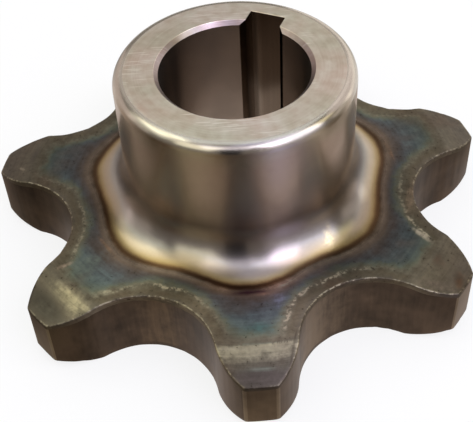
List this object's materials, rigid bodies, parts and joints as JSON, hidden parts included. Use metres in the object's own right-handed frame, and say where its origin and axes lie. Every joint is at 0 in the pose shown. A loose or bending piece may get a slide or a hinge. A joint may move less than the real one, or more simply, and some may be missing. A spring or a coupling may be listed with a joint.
{
  "type": "chain sprocket",
  "caption": "Steel chain sprocket turned from one piece, with a long one-sided hub, keyed bore, large root fillet and wide-gapped bevelled teeth hardened at their edges.",
  "frame": {"origin": "on the bore's axis at the flat underside of the toothed plate", "axes": "+Z along the bore, from the toothed plate towards the hub's end face; +Y through the keyway and the middle of one tooth"},
  "size_m": [0.1114, 0.1087, 0.0468],
  "materials": {
    "steel": "turned bright steel, tinted by heat and scaled brown towards the hardened teeth"
  },
  "bodies": {
    "root": {"sprocket": "steel"}
  },
  "joints": []
}
